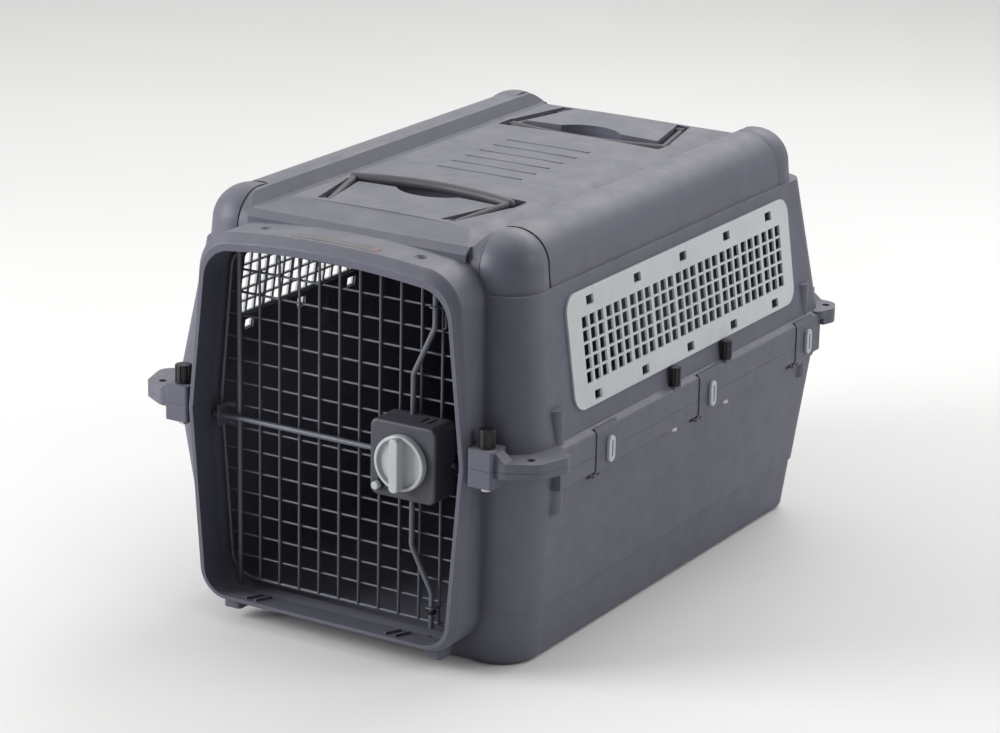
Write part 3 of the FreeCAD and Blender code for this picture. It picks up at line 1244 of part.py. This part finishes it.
def side_thumb_nuts():
    nuts = []
    for x, y in side_places():
        nut = fluted_nut(x, y, SIDE_NUT_Z, SIDE_NUT_R, SIDE_NUT_H)
        nuts.append(nut.cut(cylinder((x, y, SIDE_NUT_Z - 1), SIDE_BOLT_R, 12.0, Z_AXIS)))
    return nuts


def side_bolts():
    """Bolts that clamp the rail halves under the side thumb nuts."""
    bolts = []
    for x, y in side_places():
        shank = cylinder((x, y, RAIL_LOW_Z - 1.0), SIDE_BOLT_R, SIDE_NUT_Z + 12.0 - RAIL_LOW_Z, Z_AXIS)
        head = cylinder((x, y, RAIL_LOW_Z - 4.0), 4.2, 4.0, Z_AXIS)
        bolts.append(shank.fuse(head))
    return bolts


def carry_handle():
    """Bail handle folded into the roof (front one): two splayed arms and a bowed grip."""
    arms = []
    ends = [Vector(sign * HANDLE_BAR_X, HANDLE_BAR_Y, HANDLE_Z) for sign in (-1, 1)]
    for sign, hand in zip((-1, 1), ends):
        foot = Vector(sign * HANDLE_PIVOT_X, HANDLE_PIVOT_Y, HANDLE_Z)
        direction = hand - foot
        arms.append(Part.makeCylinder(ARM_R, direction.Length, foot, direction))
        arms.append(Part.makeSphere(HANDLE_R, hand))
        arms.append(cylinder((foot.x - 5.0, foot.y, foot.z), 5.2, 10.0, X_AXIS))
    arc = Part.Arc(ends[0], Vector(0, HANDLE_BAR_Y + HANDLE_BOW, HANDLE_Z), ends[1]).toShape()
    tangent = arc.tangentAt(arc.FirstParameter)
    grip = Part.Wire([arc]).makePipeShell([Part.Wire(Part.makeCircle(HANDLE_R, ends[0], tangent))], True, False)
    body = fuse(arms + [grip])
    bores = [cylinder((sign * HANDLE_PIVOT_X - 9, HANDLE_PIVOT_Y, HANDLE_Z), PIVOT_R + PIVOT_FIT, 18, X_AXIS)
             for sign in (-1, 1)]
    return body.cut(Part.makeCompound(bores))


def handle_pins():
    return [cylinder((sign * HANDLE_PIVOT_X - 13.5, HANDLE_PIVOT_Y, HANDLE_Z), PIVOT_R, 27, X_AXIS)
            for sign in (-1, 1)]


# ================================================================ export
def export(node, shapes):
    """Write one node: move it into the row frame and save its solids."""
    if not isinstance(shapes, (list, tuple)):
        shapes = [shapes]
    solids = []
    for shape in shapes:
        moved = shape.copy()
        moved.translate(Vector(0, -MIDDLE_Y, 0))
        solids += moved.Solids
    for solid in solids:
        if not solid.isValid() or solid.Volume <= 0:
            print("check", node, solid.isValid(), round(solid.Volume, 2))
    whole = solids[0] if len(solids) == 1 else Part.makeCompound(solids)
    whole.exportStep("parts/" + node + ".step")
    bounds = whole.optimalBoundingBox(False, False)
    print(node, len(solids), [round(v, 1) for v in (bounds.XMin, bounds.XMax, bounds.YMin, bounds.YMax,
                                                    bounds.ZMin, bounds.ZMax)])


def main():
    os.makedirs("parts", exist_ok=True)
    export("bottom_shell", bottom_shell())
    export("top_shell", top_shell())
    panel = vent_panel()
    export("vent_panel_right", panel)
    export("vent_panel_left", mirror_x(panel))
    export("door_outline_wire", door_outline_wire())
    export("door_vertical_wires", door_vertical_wires())
    export("door_cross_wires", door_cross_wires())
    export("hinge_rod", hinge_rod())
    export("rod_guides", rod_guides())
    export("level_rod_bracket", level_rod_bracket())
    export("lock_housing", lock_housing())
    export("lock_back_plate", lock_back_plate())
    export("lock_screws", lock_screws())
    export("lock_knob", lock_knob())
    export("lock_pinion", lock_pinion())
    export("upper_bolt", upper_bolt())
    export("lower_bolt", lower_bolt())
    export("left_bolt", left_bolt())
    export("right_bolt", right_bolt())
    export("lower_bolt_collar", rod_collar((ROD_OUT_X, ROD_Y, 50.0), Z_AXIS))
    export("right_bolt_collar", rod_collar((138.0, ROD_Y, LEVEL_ROD_Z), X_AXIS))
    export("lock_button", lock_button())
    export("button_collar", button_collar())
    export("button_spring", button_spring())
    for side in ("left", "right"):
        for name, y in zip(("front", "middle", "rear"), CLIP_YS):
            export("clip_" + side + "_" + name, right_and_left(side_clip, y, side))
            export("clip_latch_" + side + "_" + name, right_and_left(clip_latch, y, side))
        export("clip_pins_" + side, [right_and_left(clip_pin, y, side) for y in CLIP_YS])
    export("corner_thumb_nuts", corner_thumb_nuts())
    export("corner_bolts", corner_bolts())
    export("side_thumb_nuts", side_thumb_nuts())
    export("side_bolts", side_bolts())
    export("handle_recess_front", handle_recess(lambda shape: shape))
    export("handle_recess_rear", handle_recess(rear_of))
    handle = carry_handle()
    export("rear_handle", rear_of(handle))
    handle.rotate(Vector(0, HANDLE_PIVOT_Y, HANDLE_Z), X_AXIS, HANDLE_LIFT_DEG)
    export("front_handle", handle)
    export("front_handle_pins", handle_pins())
    export("rear_handle_pins", [rear_of(pin) for pin in handle_pins()])


main()
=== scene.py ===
import json
import math

import bmesh
import bpy
from mathutils import Matrix, Vector


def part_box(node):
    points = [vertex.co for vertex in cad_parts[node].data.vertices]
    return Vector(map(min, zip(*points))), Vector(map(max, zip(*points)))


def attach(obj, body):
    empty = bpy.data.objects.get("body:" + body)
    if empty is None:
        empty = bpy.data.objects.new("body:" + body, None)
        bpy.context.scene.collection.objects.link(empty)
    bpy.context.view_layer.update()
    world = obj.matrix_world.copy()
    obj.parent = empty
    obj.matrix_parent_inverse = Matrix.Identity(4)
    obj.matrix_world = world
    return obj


# Looks of a pet transport carrier: every CAD node keeps its shape and gets a procedural finish,
# and a plain badge plate is fitted on the visor over the door.

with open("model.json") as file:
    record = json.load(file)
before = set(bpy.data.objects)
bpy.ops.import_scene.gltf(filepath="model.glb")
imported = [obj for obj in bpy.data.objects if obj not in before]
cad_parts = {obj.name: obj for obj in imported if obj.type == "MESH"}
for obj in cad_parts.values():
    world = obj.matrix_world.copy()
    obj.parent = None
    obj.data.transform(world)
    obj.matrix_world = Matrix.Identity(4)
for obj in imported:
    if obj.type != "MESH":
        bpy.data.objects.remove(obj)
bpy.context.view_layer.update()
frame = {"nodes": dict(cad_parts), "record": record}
nodes = frame["nodes"]

DOOR_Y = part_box("door_cross_wires")[0].y      # plane of the wire door
BEVEL_SAMPLES = 4

# Badge on the visor, in metres.
BADGE_HALF_LENGTH = 0.0535
BADGE_HALF_WIDTH = 0.0068
BADGE_CORNER = BADGE_HALF_WIDTH * 0.5
BADGE_SETBACK = 0.0215      # from the front edge of the lid to the middle of the badge
BADGE_PROUD = 0.0004
BADGE_SKIN = 0.0006
BADGE_COLUMNS = 48
BADGE_ROWS = 6
ABOVE_LID_Z = 0.6           # height from which the badge is dropped on to the visor

FLOOR_HALF = 9.0


# ---------------------------------------------------------------- shader helpers
class Shader:
    """A material under construction: its principled shader and a few ways to wire noise into it."""

    def __init__(self, name, roughness, specular=0.5):
        self.material = bpy.data.materials.new(name)
        self.material.use_nodes = True
        self.tree = self.material.node_tree
        self.bsdf = self.tree.nodes["Principled BSDF"]
        self.bsdf.inputs["Roughness"].default_value = roughness
        self.bsdf.inputs["Specular IOR Level"].default_value = specular
        self.coords = self.node("ShaderNodeTexCoord").outputs["Object"]

    def node(self, kind):
        return self.tree.nodes.new(kind)

    def link(self, source, target):
        self.tree.links.new(source, target)

    def noise(self, scale, detail=4.0, rough=0.55, stretch=(1, 1, 1)):
        """Object-space noise; stretch makes it run along an axis."""
        mapping = self.node("ShaderNodeMapping")
        mapping.inputs["Scale"].default_value = stretch
        self.link(self.coords, mapping.inputs["Vector"])
        noise = self.node("ShaderNodeTexNoise")
        noise.inputs["Scale"].default_value = scale
        noise.inputs["Detail"].default_value = detail
        noise.inputs["Roughness"].default_value = rough
        self.link(mapping.outputs["Vector"], noise.inputs["Vector"])
        return noise.outputs["Fac"]

    def cells(self, scale):
        voronoi = self.node("ShaderNodeTexVoronoi")
        voronoi.inputs["Scale"].default_value = scale
        self.link(self.coords, voronoi.inputs["Vector"])
        return voronoi.outputs["Distance"]

    def ramp(self, source, low, high, value_low, value_high):
        """Map a source from low..high to value_low..value_high."""
        node = self.node("ShaderNodeMapRange")
        node.inputs["From Min"].default_value = low
        node.inputs["From Max"].default_value = high
        node.inputs["To Min"].default_value = value_low
        node.inputs["To Max"].default_value = value_high
        self.link(source, node.inputs["Value"])
        return node.outputs["Result"]

    def mix(self, factor, a, b):
        """Colour a to colour b by factor; a and b are colours or sockets."""
        node = self.node("ShaderNodeMix")
        node.data_type = "RGBA"
        self.link(factor, node.inputs["Factor"])
        for value, socket in ((a, node.inputs["A"]), (b, node.inputs["B"])):
            if isinstance(value, tuple):
                socket.default_value = (*value, 1.0)
            else:
                self.link(value, socket)
        return node.outputs["Result"]

    def add(self, a, b, weight):
        """a + b * weight, for heights."""
        scaled = self.node("ShaderNodeMath")
        scaled.operation = "MULTIPLY"
        scaled.inputs[1].default_value = weight
        self.link(b, scaled.inputs[0])
        total = self.node("ShaderNodeMath")
        total.operation = "ADD"
        self.link(a, total.inputs[0])
        self.link(scaled.outputs["Value"], total.inputs[1])
        return total.outputs["Value"]

    def edge_wear(self, radius, low=0.02, high=0.25):
        """1 on sharp edges, found by comparing the bevelled normal with the true one."""
        bevel = self.node("ShaderNodeBevel")
        bevel.samples = BEVEL_SAMPLES
        bevel.inputs["Radius"].default_value = radius
        geometry = self.node("ShaderNodeNewGeometry")
        dot = self.node("ShaderNodeVectorMath")
        dot.operation = "DOT_PRODUCT"
        self.link(bevel.outputs["Normal"], dot.inputs[0])
        self.link(geometry.outputs["Normal"], dot.inputs[1])
        return self.ramp(dot.outputs["Value"], 1.0 - low, 1.0 - high, 0.0, 1.0)

    def upward(self):
        """Height of the surface normal: 1 on tops, 0 on walls."""
        geometry = self.node("ShaderNodeNewGeometry")
        split = self.node("ShaderNodeSeparateXYZ")
        self.link(geometry.outputs["Normal"], split.inputs["Vector"])
        return split.outputs["Z"]

    def multiply(self, a, b):
        node = self.node("ShaderNodeMath")
        node.operation = "MULTIPLY"
        self.link(a, node.inputs[0])
        self.link(b, node.inputs[1])
        return node.outputs["Value"]

    def finish(self, colour, roughness=None, height=None, strength=0.1, distance=0.0004, round_edges=0.0):
        """Wire colour, roughness and bump height into the shader; round_edges softens edges in shading."""
        self.link(colour, self.bsdf.inputs["Base Color"])
        if roughness is not None:
            self.link(roughness, self.bsdf.inputs["Roughness"])
        if height is not None:
            bump = self.node("ShaderNodeBump")
            bump.inputs["Strength"].default_value = strength
            bump.inputs["Distance"].default_value = distance
            self.link(height, bump.inputs["Height"])
            if round_edges > 0:
                bevel = self.node("ShaderNodeBevel")
                bevel.samples = BEVEL_SAMPLES
                bevel.inputs["Radius"].default_value = round_edges
                self.link(bevel.outputs["Normal"], bump.inputs["Normal"])
            self.link(bump.outputs["Normal"], self.bsdf.inputs["Normal"])
        return self.material


def shade(colour, factor):
    """Colour made lighter or darker by a factor."""
    return tuple(min(1.0, c * factor) for c in colour)


def moulded_plastic(name, colour, roughness, grain=2600.0, dust_and_sheen=0.0, round_edges=0.0008, specular=0.45):
    """Moulded plastic: fine leathery grain, slow tone drift, scuffed edges, and light dust with painted
    sheen on tops.
    """
    s = Shader(name, roughness, specular)
    drift = s.noise(5.0, 3.0)
    mottle = s.noise(55.0, 5.0, 0.6)
    base = s.mix(s.ramp(drift, 0.35, 0.65, 0.0, 1.0), shade(colour, 0.93), shade(colour, 1.07))
    base = s.mix(s.ramp(mottle, 0.35, 0.7, 0.0, 0.35), base, shade(colour, 1.16))
    scuffs = s.ramp(s.noise(160.0, 6.0, 0.65), 0.42, 0.62, 0.0, 0.55)
    base = s.mix(s.multiply(s.edge_wear(0.0011), scuffs), base, shade(colour, 1.55))
    # Tops painted lighter: partly dust in patches, partly painted sheen where light falls on upward faces.
    if dust_and_sheen > 0:
        tops = s.ramp(s.upward(), 0.55, 1.0, 0.0, dust_and_sheen)
        patches = s.ramp(s.noise(24.0, 6.0, 0.7), 0.3, 0.75, 0.4, 1.0)
        base = s.mix(s.multiply(tops, patches), base, tuple(0.5 * c + 0.24 for c in colour))
    rough = s.ramp(s.noise(38.0, 5.0, 0.6), 0.3, 0.7, roughness - 0.06, roughness + 0.08)
    height = s.add(s.noise(grain, 2.0, 0.5), s.cells(grain * 0.55), 0.6)
    return s.finish(base, rough, height, 0.16, 0.00025, round_edges)


def powder_coat(name, colour, roughness=0.42):
    """Powder-coated wire: slight orange peel, and small lighter rubbed spots."""
    s = Shader(name, roughness, 0.5)
    s.bsdf.inputs["Coat Weight"].default_value = 0.15
    s.bsdf.inputs["Coat Roughness"].default_value = 0.25
    drift = s.ramp(s.noise(70.0, 5.0), 0.3, 0.7, 0.0, 1.0)
    base = s.mix(drift, shade(colour, 0.9), shade(colour, 1.08))
    rubbed = s.ramp(s.noise(420.0, 4.0, 0.7), 0.6, 0.72, 0.0, 0.5)
    base = s.mix(rubbed, base, shade(colour, 1.4))
    rough = s.ramp(s.noise(90.0, 4.0), 0.3, 0.7, roughness - 0.08, roughness + 0.1)
    return s.finish(base, rough, s.noise(900.0, 3.0), 0.2, 0.0002)


def plated_steel(name, colour):
    """Zinc-plated steel: fine upright streaks and a faint yellowish bloom."""
    s = Shader(name, 0.32, 0.5)
    s.bsdf.inputs["Metallic"].default_value = 0.9
    streaks = s.noise(240.0, 4.0, 0.6, (6.0, 6.0, 0.6))
    base = s.mix(s.ramp(streaks, 0.3, 0.7, 0.0, 1.0), shade(colour, 0.85), shade(colour, 1.08))
    bloom = (colour[0], colour[1] * 0.96, colour[2] * 0.86)
    base = s.mix(s.ramp(s.noise(40.0), 0.5, 0.75, 0.0, 0.4), base, bloom)
    rough = s.ramp(streaks, 0.3, 0.7, 0.24, 0.44)
    return s.finish(base, rough, streaks, 0.12, 0.0002)


def soft_rubber(name, colour):
    """Black rubber: matt, slightly bloomed, with a fine pitted skin."""
    s = Shader(name, 0.78, 0.3)
    base = s.mix(s.ramp(s.noise(120.0, 5.0), 0.4, 0.75, 0.0, 0.6), colour, shade(colour, 1.8))
    rough = s.ramp(s.noise(60.0), 0.3, 0.7, 0.7, 0.88)
    return s.finish(base, rough, s.cells(2400.0), 0.25, 0.0002)


SLATE = (0.088, 0.090, 0.121)
# The dust amounts below also set the painted sheen on upward faces.
MATERIALS = {
    "tub": moulded_plastic("tub_plastic", SLATE, 0.5, dust_and_sheen=0.25),
    "lid": moulded_plastic("lid_plastic", SLATE, 0.5, dust_and_sheen=0.5),
    "vent": moulded_plastic("vent_plastic", (0.46, 0.48, 0.50), 0.48, grain=3000.0, round_edges=0.0005),
    "wire": powder_coat("door_wire_coat", (0.070, 0.074, 0.095)),
    "rod": powder_coat("bolt_rod_coat", (0.095, 0.10, 0.125)),
    "lock_case": moulded_plastic("lock_case_plastic", (0.045, 0.046, 0.060), 0.5, grain=3400.0),
    "knob": moulded_plastic("knob_plastic", (0.39, 0.41, 0.43), 0.42, grain=3600.0, round_edges=0.0007),
    "button_grey": moulded_plastic("latch_plastic", (0.40, 0.42, 0.45), 0.4, grain=3600.0,
                                   round_edges=0.0006),
    "rubber_black": soft_rubber("collar_rubber", (0.012, 0.012, 0.014)),
    "nut": moulded_plastic("nut_plastic", (0.010, 0.010, 0.012), 0.4, grain=3600.0, round_edges=0.0006),
    "steel": plated_steel("plated_steel", (0.52, 0.52, 0.53)),
    "clip": moulded_plastic("clip_plastic", (0.080, 0.082, 0.110), 0.48, grain=3000.0),
    "handle": moulded_plastic("handle_plastic", (0.062, 0.062, 0.075), 0.52, grain=3000.0, dust_and_sheen=0.2),
}


def paint_cad_nodes():
    """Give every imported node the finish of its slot."""
    slot_of = {part["node"]: part["material_slot"] for part in frame["record"]["subparts"]}
    for name, obj in nodes.items():
        obj.data.materials.clear()
        obj.data.materials.append(MATERIALS[slot_of[name]])


def badge_film():
    """Satin film: a dark ground with a few soft tone patches and a thin clear coat."""
    s = Shader("badge_film", 0.35, 0.5)
    s.bsdf.inputs["Coat Weight"].default_value = 0.4
    s.bsdf.inputs["Coat Roughness"].default_value = 0.15
    drift = s.ramp(s.noise(30.0, 4.0), 0.35, 0.65, 0.0, 1.0)
    ground = s.mix(drift, (0.035, 0.035, 0.040), (0.075, 0.072, 0.076))
    bands = s.noise(26.0, 1.0, 0.4, (1.0, 0.25, 1.0))
    tinted = s.mix(s.ramp(bands, 0.56, 0.72, 0.0, 0.55), ground, (0.34, 0.12, 0.10))
    return s.finish(tinted, None, s.noise(1500.0, 2.0), 0.05, 0.0001)


def badge_reach(x):
    """Half-width of the badge at x; it narrows at the ends, where the corners are round."""
    past = max(0.0, abs(x) - (BADGE_HALF_LENGTH - BADGE_CORNER))
    return BADGE_HALF_WIDTH - (BADGE_CORNER - math.sqrt(max(0.0, BADGE_CORNER ** 2 - past ** 2)))


def build_badge():
    """Thin blank badge with rounded ends, bent to the crown of the visor."""
    middle_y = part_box("top_shell")[0].y + BADGE_SETBACK
    mesh = bpy.data.meshes.new("visor_badge")
    badge = bpy.data.objects.new("visor_badge", mesh)
    bpy.context.scene.collection.objects.link(badge)
    shell = nodes["top_shell"].evaluated_get(bpy.context.evaluated_depsgraph_get())
    bm = bmesh.new()
    columns = []
    for i in range(BADGE_COLUMNS + 1):
        x = -BADGE_HALF_LENGTH + 2 * BADGE_HALF_LENGTH * i / BADGE_COLUMNS
        reach = badge_reach(x)
        column = []
        for k in range(BADGE_ROWS + 1):
            y = middle_y - reach + 2 * reach * k / BADGE_ROWS
            _, place, normal, _ = shell.ray_cast(Vector((x, y, ABOVE_LID_Z)), Vector((0, 0, -1)))
            column.append(bm.verts.new(place + normal * BADGE_PROUD))
        columns.append(column)
    for a, b in zip(columns, columns[1:]):
        for k in range(BADGE_ROWS):
            bm.faces.new((a[k], b[k], b[k + 1], a[k + 1]))
    result = bmesh.ops.extrude_face_region(bm, geom=bm.faces[:])
    lowered = [v for v in result["geom"] if isinstance(v, bmesh.types.BMVert)]
    bmesh.ops.translate(bm, verts=lowered, vec=(0, 0, -BADGE_SKIN))
    bmesh.ops.recalc_face_normals(bm, faces=bm.faces[:])
    bm.to_mesh(mesh)
    bm.free()
    mesh.materials.append(badge_film())
    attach(badge, "carrier")


# ---------------------------------------------------------------- floor, light and camera
def build_stage():
    """Pale seamless floor."""
    mesh = bpy.data.meshes.new("floor")
    floor = bpy.data.objects.new("floor", mesh)
    bpy.context.scene.collection.objects.link(floor)
    bm = bmesh.new()
    bmesh.ops.create_grid(bm, x_segments=8, y_segments=8, size=FLOOR_HALF)
    bm.to_mesh(mesh)
    bm.free()
    s = Shader("studio_floor", 0.85, 0.2)
    drift = s.ramp(s.noise(1.2, 2.0), 0.3, 0.7, 0.0, 1.0)
    tone = s.mix(drift, (0.72, 0.718, 0.708), (0.745, 0.742, 0.732))
    mesh.materials.append(s.finish(tone, None, s.noise(300.0, 3.0), 0.02, 0.0002))


def area_light(name, place, target, size, watts, colour):
    """Rectangular soft box at place, facing target."""
    data = bpy.data.lights.new(name, "AREA")
    data.shape = "RECTANGLE"
    data.size = size[0]
    data.size_y = size[1]
    data.energy = watts
    data.color = colour
    lamp = bpy.data.objects.new(name, data)
    lamp.location = place
    direction = Vector(target) - Vector(place)
    lamp.rotation_euler = direction.to_track_quat("-Z", "Y").to_euler()
    bpy.context.scene.collection.objects.link(lamp)


VIEWER_SIDE = (0.46, -0.86, -0.2)      # from the object to the viewer, and a little down


def build_world():
    """Soft room light: bright above and behind, darker from where the viewer stands."""
    world = bpy.data.worlds.new("studio")
    world.use_nodes = True
    tree = world.node_tree
    background = tree.nodes["Background"]
    background.inputs["Strength"].default_value = 1.0
    coords = tree.nodes.new("ShaderNodeTexCoord")
    facing = tree.nodes.new("ShaderNodeVectorMath")
    facing.operation = "DOT_PRODUCT"
    facing.inputs[1].default_value = VIEWER_SIDE
    tree.links.new(coords.outputs["Generated"], facing.inputs[0])
    ramp = tree.nodes.new("ShaderNodeValToRGB")
    ramp.color_ramp.elements[0].position = 0.0
    ramp.color_ramp.elements[0].color = (0.80, 0.80, 0.795, 1.0)
    ramp.color_ramp.elements[1].position = 0.85
    ramp.color_ramp.elements[1].color = (0.12, 0.12, 0.125, 1.0)
    tree.links.new(facing.outputs["Value"], ramp.inputs["Fac"])
    tree.links.new(ramp.outputs["Color"], background.inputs["Color"])
    bpy.context.scene.world = world


def build_light():
    """Large soft boxes at the front left, behind and at the right."""
    build_world()
    area_light("left_box", (-2.2, -2.1, 1.35), (0, -0.2, 0.3), (1.5, 1.4), 92.0, (0.985, 0.99, 1.0))
    area_light("back_box", (0.2, 2.1, 2.5), (0, 0, 0.4), (2.6, 1.2), 44.0, (0.98, 0.985, 1.0))
    area_light("right_box", (2.6, 1.0, 1.5), (0, 0, 0.3), (1.6, 1.4), 20.0, (0.99, 0.99, 1.0))
    bpy.context.scene.view_settings.view_transform = "Standard"


CAMERA_X = 1.847
CAMERA_BEFORE_DOOR = 2.771
CAMERA_Z = 1.354
LENS_MM = 120.46
CAMERA_AZIMUTH = math.radians(31.0)
CAMERA_ELEVATION = math.radians(17.54)
CAMERA_ROLL = math.radians(1.16)


def build_camera():
    """Long lens from the front right, about chest high, turned a little about its own axis."""
    data = bpy.data.cameras.new("camera")
    data.lens = LENS_MM
    data.sensor_width = 36.0
    data.clip_end = 30.0
    camera = bpy.data.objects.new("camera", data)
    az = CAMERA_AZIMUTH
    el = CAMERA_ELEVATION
    back = Vector((math.sin(az) * math.cos(el), -math.cos(az) * math.cos(el), math.sin(el)))
    level = Vector((0, 0, 1)).cross(back).normalized()
    upright = back.cross(level)
    c = math.cos(CAMERA_ROLL)
    s = math.sin(CAMERA_ROLL)
    right = c * level + s * upright
    up = -s * level + c * upright
    turn = Matrix((right, up, back)).transposed().to_4x4()
    camera.matrix_world = Matrix.Translation((CAMERA_X, DOOR_Y - CAMERA_BEFORE_DOOR, CAMERA_Z)) @ turn
    bpy.context.scene.collection.objects.link(camera)
    bpy.context.scene.camera = camera


build_camera()
build_stage()
build_light()
paint_cad_nodes()
build_badge()

bpy.context.view_layer.update()
